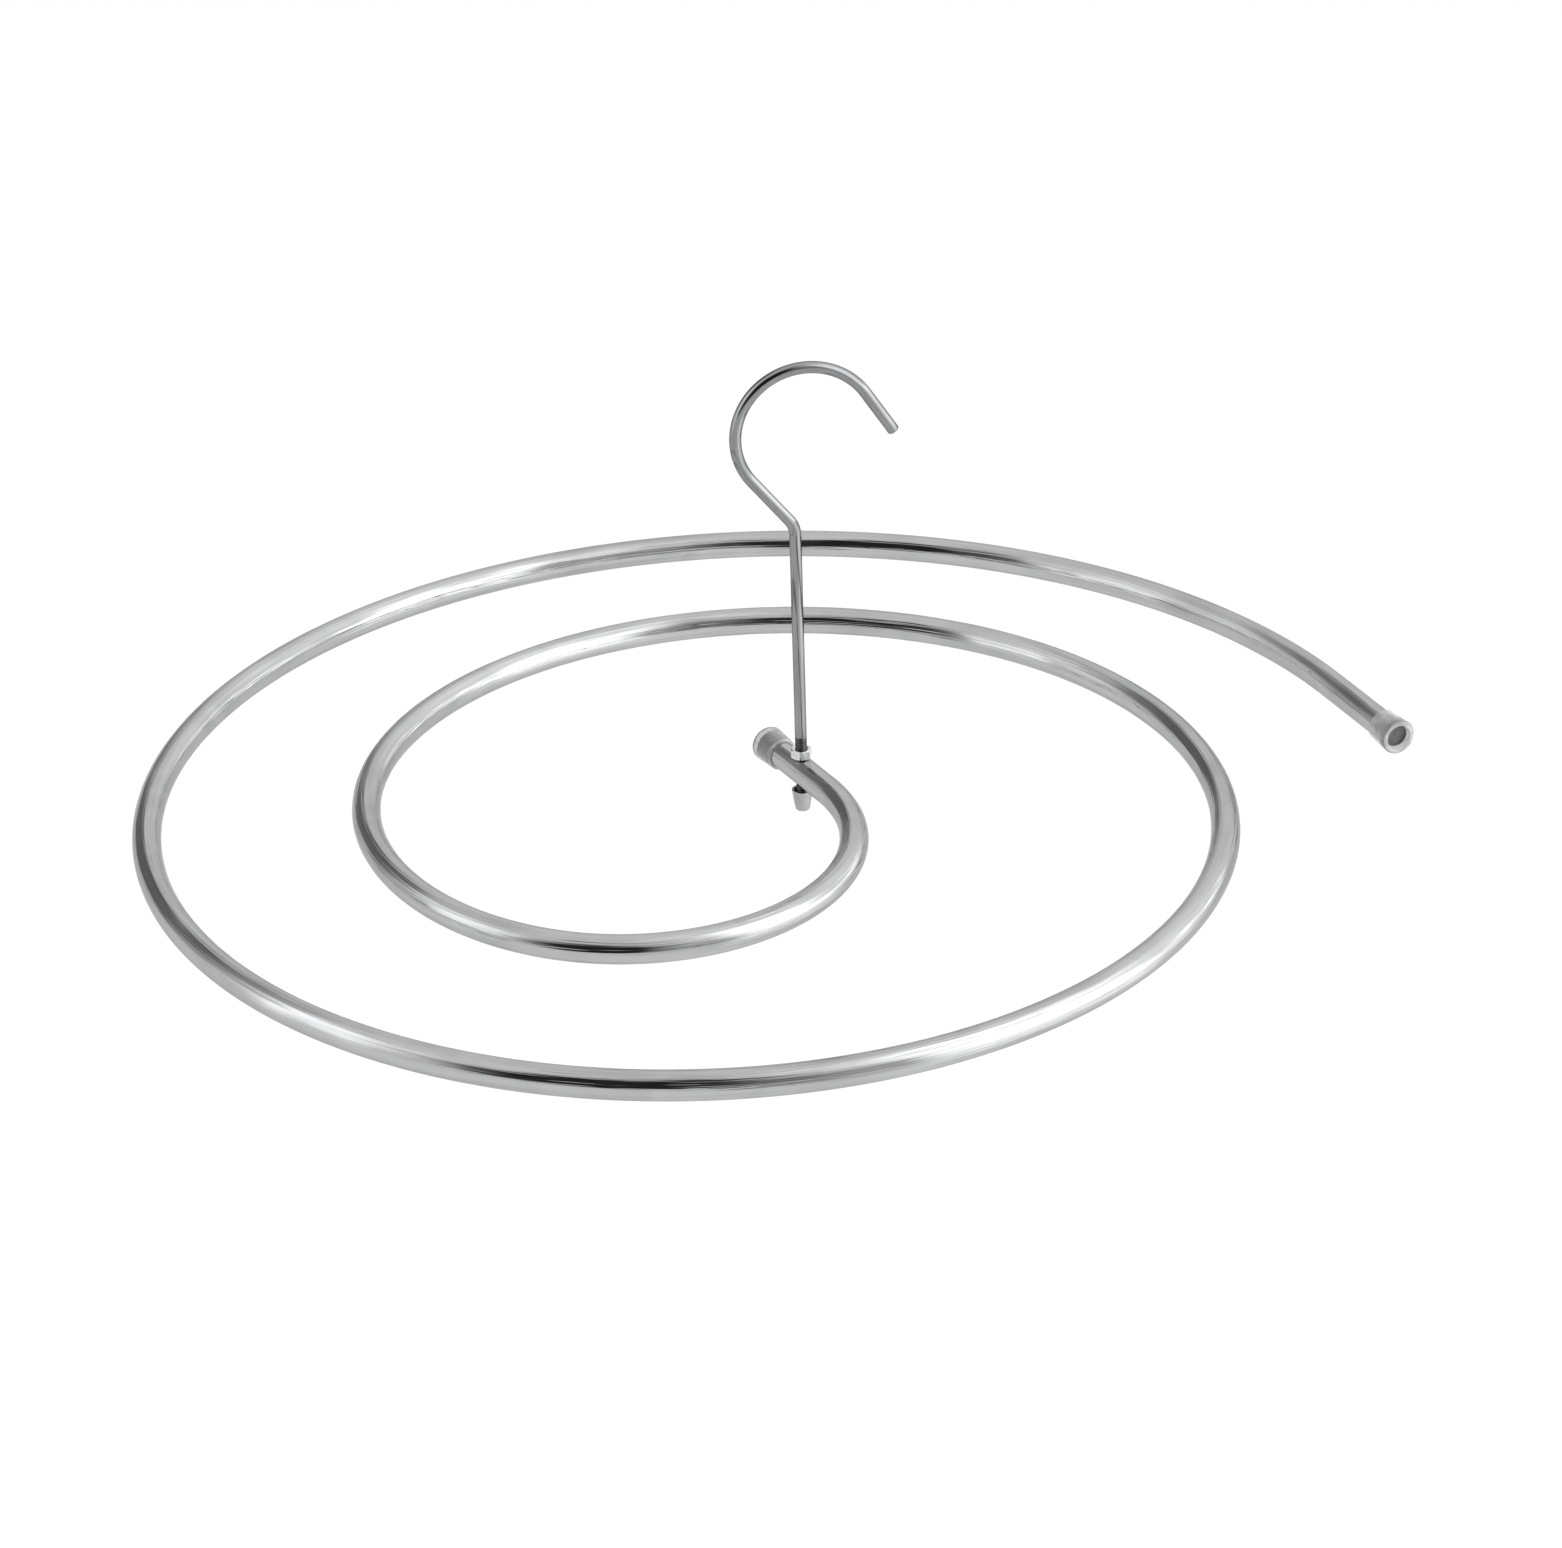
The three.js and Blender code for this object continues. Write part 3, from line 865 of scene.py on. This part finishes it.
def milky_plastic(marks_group):
    """Soft moulded plastic, half clear, with a faint moulding flow and the painted shade that the caps
    hold.
    """
    material, tree, shader = new_finish("milky_plastic")
    place = object_place(tree)
    flow = noise(tree, {"Vector": place, "Scale": 190.0, "Detail": 3.0, "Distortion": 0.8})
    marks = effect(tree, marks_group, {"Place": place, "Patches Per Metre": 240.0})
    # The caps' level of painted shade, stored in their meshes
    shade = surface_value(tree, "shade").outputs["Fac"]
    cloud = ranged(tree, flow, low=0.35, high=0.65)
    clouded = tinted(tree, cloud, PLASTIC_PALE, PLASTIC_CLOUDY)
    # Painted shade colour, darker where handling marks lie
    painted_shade_colour = tinted(tree, marks, PLASTIC_PAINTED_SHADE, PLASTIC_MARKED_PAINTED_SHADE)
    feed(tree, shader.inputs["Base Color"], tinted(tree, shade, clouded, painted_shade_colour))
    feed(tree, shader.inputs["Roughness"], weighed(PLASTIC_ROUGHNESS, marks=marks))
    shader.inputs["IOR"].default_value = PLASTIC_IOR
    shader.inputs["Transmission Weight"].default_value = PLASTIC_CLEARNESS
    bumped(tree, shader, flow, PLASTIC_RELIEF_HEIGHT, PLASTIC_RELIEF_STRENGTH)
    return material


# Studio

WATTS_PER_LIGHT = 4.0

FLOOR_DROP = 0.32
FLOOR_RADIUS = 24.0
FLOOR_SIDES = 96
FLOOR_GREY = (0.6, 0.6, 0.6, 1)
FLOOR_ROUGHNESS = 0.9
FLOOR_GLOW = 0.38

# Panels of the studio's dome: azimuth from +Y towards +X, elevation, half width and half height in
# degrees, the share of that which fades, then the light that the panel adds or, as a card, takes away
DOME_LIGHT = 1.08
DARKEST_CARD = 0.02
PANEL_CORNERS = 3.0
PANELS = {
    "right fill": (85, 58, 50, 40, 0.6, 0.45),
    "right strip": (90, 11, 36, 5, 0.5, 1.2),
    "left fill": (-78, 34, 16, 18, 0.5, 0.35),
    "back left card": (-29, 21, 24, 25, 0.5, -0.85),
    "front card": (-152, 28, 35, 34, 0.4, -1.05),
    "front right card": (160, 12, 14, 16, 0.5, -0.4),
}

# Softboxes round the hanger: azimuth, width, how far out and how high above the tube the lower edge
# and the upper edge are, then the light that its middle adds to what is behind it
SOFTBOXES = {
    "right_softbox": (124, 1.4, (1.3, -0.33), (0.55, 1.8), 1.05),
    "left_softbox": (-97, 0.7, (1.3, -0.33), (1.0, 1.1), 0.6),
    "low_right_softbox": (122, 1.0, (0.55, -0.33), (0.55, 0.1), 0.65),
}
SOFTBOX_FADE = 0.3


def make_soft_panel():
    """How much of a panel with soft edges and round corners lies in a direction; angles in degrees."""
    inputs = {"Azimuth": "Float", "Elevation": "Float", "Panel Azimuth": "Float",
              "Panel Elevation": "Float", "Half Width": "Float", "Half Height": "Float",
              "Softness": "Float"}
    tree, enter, leave = new_group("soft panel", "ShaderNodeTree", inputs, {"Panel": "Float"})
    aside = (Num(tree, enter["Azimuth"]) - enter["Panel Azimuth"]).op("WRAP", 180.0, -180.0)
    above = Num(tree, enter["Elevation"]) - enter["Panel Elevation"]
    across = (aside / enter["Half Width"]).op("ABSOLUTE").op("POWER", PANEL_CORNERS)
    upwards = (above / enter["Half Height"]).op("ABSOLUTE").op("POWER", PANEL_CORNERS)
    reach = (across + upwards).op("POWER", 1 / PANEL_CORNERS)
    soft = Num(tree, enter["Softness"])
    feed(tree, leave["Panel"], ranged(tree, reach, soft * -1.0 + 1.0, soft + 1.0, 1.0, 0.0, smooth=True))
    return tree


def studio_dome():
    world = bpy.data.worlds.new("studio_dome")
    bpy.context.scene.world = world
    world.use_nodes = True
    tree = world.node_tree
    x, y, z = parts(tree, add(tree, "ShaderNodeTexCoord").outputs["Generated"])
    direction = {"Azimuth": x.op("ARCTAN2", y).op("DEGREES"), "Elevation": z.op("ARCSINE").op("DEGREES")}
    panel = make_soft_panel()
    names = ("Panel Azimuth", "Panel Elevation", "Half Width", "Half Height", "Softness")
    light = DOME_LIGHT
    for *shape, change in PANELS.values():
        mask = effect(tree, panel, {**direction, **dict(zip(names, shape))})
        light = mask * change + light
    feed(tree, tree.nodes["Background"].inputs["Strength"], light.op("MAXIMUM", DARKEST_CARD))
    tree.nodes["Background"].inputs["Color"].default_value = (1, 1, 1, 1)


def studio_softbox(name, azimuth, width, lower, upper, light):
    """A wide lamp that leans over the hanger, facing it, and fades towards its edges."""
    outwards = Vector((sin(radians(azimuth)), cos(radians(azimuth)), 0))
    edges = [Vector((SHANK_X, SHANK_Y, TUBE_LEVEL + up)) + outwards * out for out, up in (lower, upper)]
    rise = edges[1] - edges[0]
    side = rise.normalized().cross(outwards).normalized()
    back = side.cross(rise.normalized())
    data = bpy.data.lights.new(name, "AREA")
    data.shape = "RECTANGLE"
    data.size = width
    data.size_y = rise.length
    data.energy = light * WATTS_PER_LIGHT * width * rise.length
    data.use_nodes = True
    tree = data.node_tree
    across, upwards, _ = parts(tree, add(tree, "ShaderNodeNewGeometry").outputs["Parametric"])
    fades = [ranged(tree, share.op("PINGPONG", 0.5), 0.0, SOFTBOX_FADE, smooth=True)
             for share in (across, upwards)]
    feed(tree, tree.nodes["Emission"].inputs["Strength"], fades[0] * fades[1])
    lamp = bpy.data.objects.new(name, data)
    bpy.context.scene.collection.objects.link(lamp)
    turn = Matrix((side, rise.normalized(), back)).transposed().to_4x4()
    lamp.matrix_world = Matrix.Translation((edges[0] + edges[1]) / 2) @ turn
    lamp.visible_camera = False


def studio_floor():
    """A wide pale floor that reads as white, keeps the hanger's soft shadow and is clear from below."""
    form = bmesh.new()
    bmesh.ops.create_circle(form, cap_ends=True, segments=FLOOR_SIDES, radius=FLOOR_RADIUS,
                            matrix=Matrix.Translation((0, 0, CUP_BOTTOM - FLOOR_DROP)))
    mesh = bpy.data.meshes.new("studio_floor")
    form.to_mesh(mesh)
    form.free()
    floor = bpy.data.objects.new("studio_floor", mesh)
    bpy.context.scene.collection.objects.link(floor)
    material, tree, shader = new_finish("pale_floor")
    shader.inputs["Base Color"].default_value = FLOOR_GREY
    shader.inputs["Roughness"].default_value = FLOOR_ROUGHNESS
    shader.inputs["Specular IOR Level"].default_value = 0.0
    path = add(tree, "ShaderNodeLightPath").outputs
    seen = Num(tree, path["Is Camera Ray"]) + path["Is Glossy Ray"] + path["Is Transmission Ray"]
    shader.inputs["Emission Color"].default_value = (1, 1, 1, 1)
    feed(tree, shader.inputs["Emission Strength"], seen * FLOOR_GLOW)
    clear = add(tree, "ShaderNodeBsdfTransparent")
    below = add(tree, "ShaderNodeNewGeometry").outputs["Backfacing"]
    mixed = add(tree, "ShaderNodeMixShader", {0: below, 1: shader.outputs[0], 2: clear.outputs[0]})
    feed(tree, tree.nodes["Material Output"].inputs["Surface"], mixed.outputs[0])
    mesh.materials.append(material)


def photo_camera():
    turn = (Matrix.Rotation(-CAMERA_HEADING, 4, "Z") @ Matrix.Rotation(pi / 2 - CAMERA_ELEVATION, 4, "X")
            @ Matrix.Rotation(-CAMERA_ROLL, 4, "Z"))
    data = bpy.data.cameras.new("photo_camera")
    data.lens = LENS
    data.sensor_width = SENSOR
    camera = bpy.data.objects.new("photo_camera", data)
    bpy.context.scene.collection.objects.link(camera)
    camera.matrix_world = Matrix.Translation(AIM) @ turn @ Matrix.Translation((0, 0, CAMERA_DISTANCE))
    bpy.context.scene.camera = camera


def dress(made, body, node):
    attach(made, body)
    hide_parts(node)


bpy.context.scene.view_settings.view_transform = "Standard"
photo_camera()
studio_dome()
for softbox, settings in SOFTBOXES.items():
    studio_softbox(softbox, *settings)
studio_floor()

drawn_lines = make_drawn_lines()
bender_waves = make_bender_waves()
handling_marks = make_handling_marks()
bent_stretch = make_stretch()
cap_finish = milky_plastic(handling_marks)

dress(spiral_tube(bent_stretch, polished_tube(drawn_lines, bender_waves, handling_marks)),
      "spiral", "spiral_tube")
# The inner cap's side carries much more painted shade than the outer cap's.
dress(end_cap("inner_end_cap_moulded", spiral_start(), SPIRAL_HEADING + pi, cap_finish, INNER_CAP_PAINTED_SHADE),
      "spiral", "inner_end_cap")
dress(end_cap("outer_end_cap_moulded", *spiral_end(), cap_finish, OUTER_CAP_PAINTED_SHADE),
      "spiral", "outer_end_cap")
dress(hook_rod(bent_stretch, polished_wire(drawn_lines, bender_waves, handling_marks)),
      "hook", "hook_rod")
dress(top_nut(nut_steel(handling_marks)), "hook", "top_nut")
dress(bottom_cap_nut(satin_steel(handling_marks)), "hook", "bottom_cap_nut")
